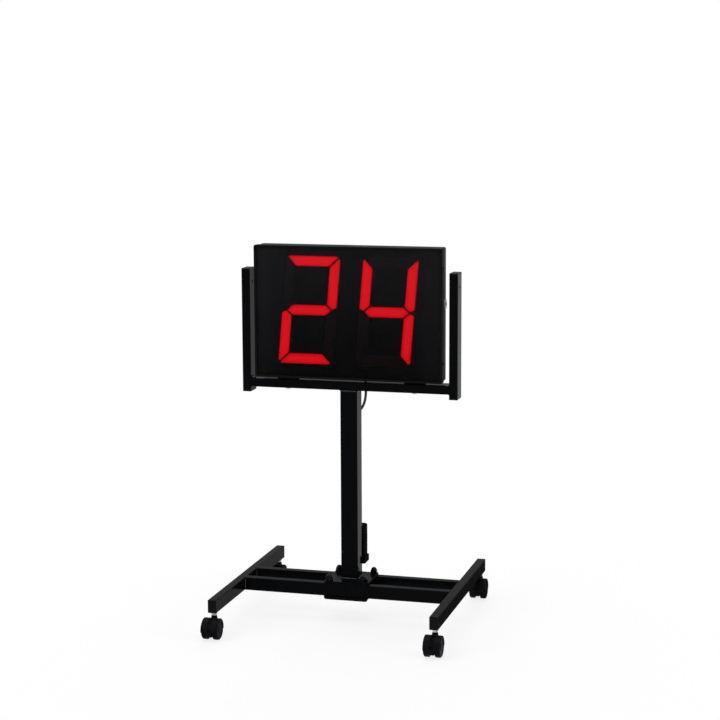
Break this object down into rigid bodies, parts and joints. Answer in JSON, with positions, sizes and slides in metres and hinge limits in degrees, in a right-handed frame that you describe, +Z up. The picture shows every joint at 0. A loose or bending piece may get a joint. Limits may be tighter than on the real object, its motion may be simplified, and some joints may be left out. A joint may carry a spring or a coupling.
{
  "type": "shot clock",
  "caption": "Countdown shot clock in a U-shaped frame on a square column, over an H-shaped base that rolls on swivelling twin-wheel casters.",
  "frame": {"origin": "on the floor, under the middle of the object's bounding box", "axes": "+Z up, the display's face towards -Y, +X to the right of someone facing the display"},
  "size_m": [0.5464, 0.5312, 0.8644],
  "materials": {
    "black_paint": "semi-gloss",
    "black_case": "semi-gloss",
    "black_plastic": "satin",
    "caster_plastic": "satin",
    "wheel_plastic": "satin",
    "rubber": "matte",
    "lead_cover": "satin",
    "dark_steel": "gloss",
    "zinc": "satin",
    "nickel": "satin",
    "mask_black": "matte",
    "lit_red": "gloss",
    "dark_red": "gloss",
    "board_green": "satin",
    "smoked_glass": "gloss"
  },
  "bodies": {
    "stand": {"foot_left": "black_paint", "foot_right": "black_paint", "rail_front": "black_paint", "rail_rear": "black_paint", "flange_plate": "black_paint", "clamp_channel": "black_paint", "column": "black_paint", "crossbar": "black_paint", "arm_left": "black_paint", "arm_right": "black_paint", "adapter_tray": "black_paint", "front_frame": "black_case", "rear_housing": "black_case", "foot_cap_left_front": "black_plastic", "foot_cap_left_rear": "black_plastic", "foot_cap_right_front": "black_plastic", "foot_cap_right_rear": "black_plastic", "arm_cap_left_top": "black_plastic", "arm_cap_left_bottom": "black_plastic", "arm_cap_right_top": "black_plastic", "arm_cap_right_bottom": "black_plastic", "connector_plate": "black_plastic", "elbow_plug": "black_plastic", "lead_clip_1": "black_plastic", "lead_clip_2": "black_plastic", "adapter": "black_plastic", "seat_pad_left": "rubber", "seat_pad_right": "rubber", "power_lead": "lead_cover", "flange_bolt_front_left": "dark_steel", "flange_bolt_front_right": "dark_steel", "flange_bolt_rear_left": "dark_steel", "flange_bolt_rear_right": "dark_steel", "caster_stem_left_front": "zinc", "caster_stem_left_rear": "zinc", "caster_stem_right_front": "zinc", "caster_stem_right_rear": "zinc", "seat_bolt_left": "zinc", "seat_bolt_right": "zinc", "side_boss_left": "nickel", "side_boss_right": "nickel", "digit_mask": "mask_black", "digit_tens_lit": "lit_red", "digit_units_lit": "lit_red", "digit_tens_dark": "dark_red", "digit_units_dark": "dark_red", "led_board": "board_green", "window": "smoked_glass"},
    "swivel_left_front": {"caster_hood_left_front": "caster_plastic"},
    "swivel_left_rear": {"caster_hood_left_rear": "caster_plastic"},
    "swivel_right_front": {"caster_hood_right_front": "caster_plastic"},
    "swivel_right_rear": {"caster_hood_right_rear": "caster_plastic"},
    "wheel_left_front_inner": {"caster_wheel_left_front_inner": "wheel_plastic"},
    "wheel_left_front_outer": {"caster_wheel_left_front_outer": "wheel_plastic"},
    "wheel_left_rear_inner": {"caster_wheel_left_rear_inner": "wheel_plastic"},
    "wheel_left_rear_outer": {"caster_wheel_left_rear_outer": "wheel_plastic"},
    "wheel_right_front_inner": {"caster_wheel_right_front_inner": "wheel_plastic"},
    "wheel_right_front_outer": {"caster_wheel_right_front_outer": "wheel_plastic"},
    "wheel_right_rear_inner": {"caster_wheel_right_rear_inner": "wheel_plastic"},
    "wheel_right_rear_outer": {"caster_wheel_right_rear_outer": "wheel_plastic"}
  },
  "joints": [
    {"name": "swivel_left_front", "type": "hinge", "parent": "stand", "child": "swivel_left_front", "pos_m": [-0.254, -0.2244, 0.052], "axis": [0, 0, 1], "continuous": true},
    {"name": "roll_left_front_inner", "type": "hinge", "parent": "swivel_left_front", "child": "wheel_left_front_inner", "pos_m": [-0.241, -0.2404, 0.023], "axis": [1, 0, 0], "continuous": true},
    {"name": "roll_left_front_outer", "type": "hinge", "parent": "swivel_left_front", "child": "wheel_left_front_outer", "pos_m": [-0.267, -0.2404, 0.023], "axis": [1, 0, 0], "continuous": true},
    {"name": "swivel_left_rear", "type": "hinge", "parent": "stand", "child": "swivel_left_rear", "pos_m": [-0.254, 0.2506, 0.052], "axis": [0, 0, 1], "continuous": true},
    {"name": "roll_left_rear_inner", "type": "hinge", "parent": "swivel_left_rear", "child": "wheel_left_rear_inner", "pos_m": [-0.241, 0.2346, 0.023], "axis": [1, 0, 0], "continuous": true},
    {"name": "roll_left_rear_outer", "type": "hinge", "parent": "swivel_left_rear", "child": "wheel_left_rear_outer", "pos_m": [-0.267, 0.2346, 0.023], "axis": [1, 0, 0], "continuous": true},
    {"name": "swivel_right_front", "type": "hinge", "parent": "stand", "child": "swivel_right_front", "pos_m": [0.254, -0.2244, 0.052], "axis": [0, 0, 1], "continuous": true},
    {"name": "roll_right_front_inner", "type": "hinge", "parent": "swivel_right_front", "child": "wheel_right_front_inner", "pos_m": [0.241, -0.2404, 0.023], "axis": [1, 0, 0], "continuous": true},
    {"name": "roll_right_front_outer", "type": "hinge", "parent": "swivel_right_front", "child": "wheel_right_front_outer", "pos_m": [0.267, -0.2404, 0.023], "axis": [1, 0, 0], "continuous": true},
    {"name": "swivel_right_rear", "type": "hinge", "parent": "stand", "child": "swivel_right_rear", "pos_m": [0.254, 0.2506, 0.052], "axis": [0, 0, 1], "continuous": true},
    {"name": "roll_right_rear_inner", "type": "hinge", "parent": "swivel_right_rear", "child": "wheel_right_rear_inner", "pos_m": [0.241, 0.2346, 0.023], "axis": [1, 0, 0], "continuous": true},
    {"name": "roll_right_rear_outer", "type": "hinge", "parent": "swivel_right_rear", "child": "wheel_right_rear_outer", "pos_m": [0.267, 0.2346, 0.023], "axis": [1, 0, 0], "continuous": true}
  ]
}
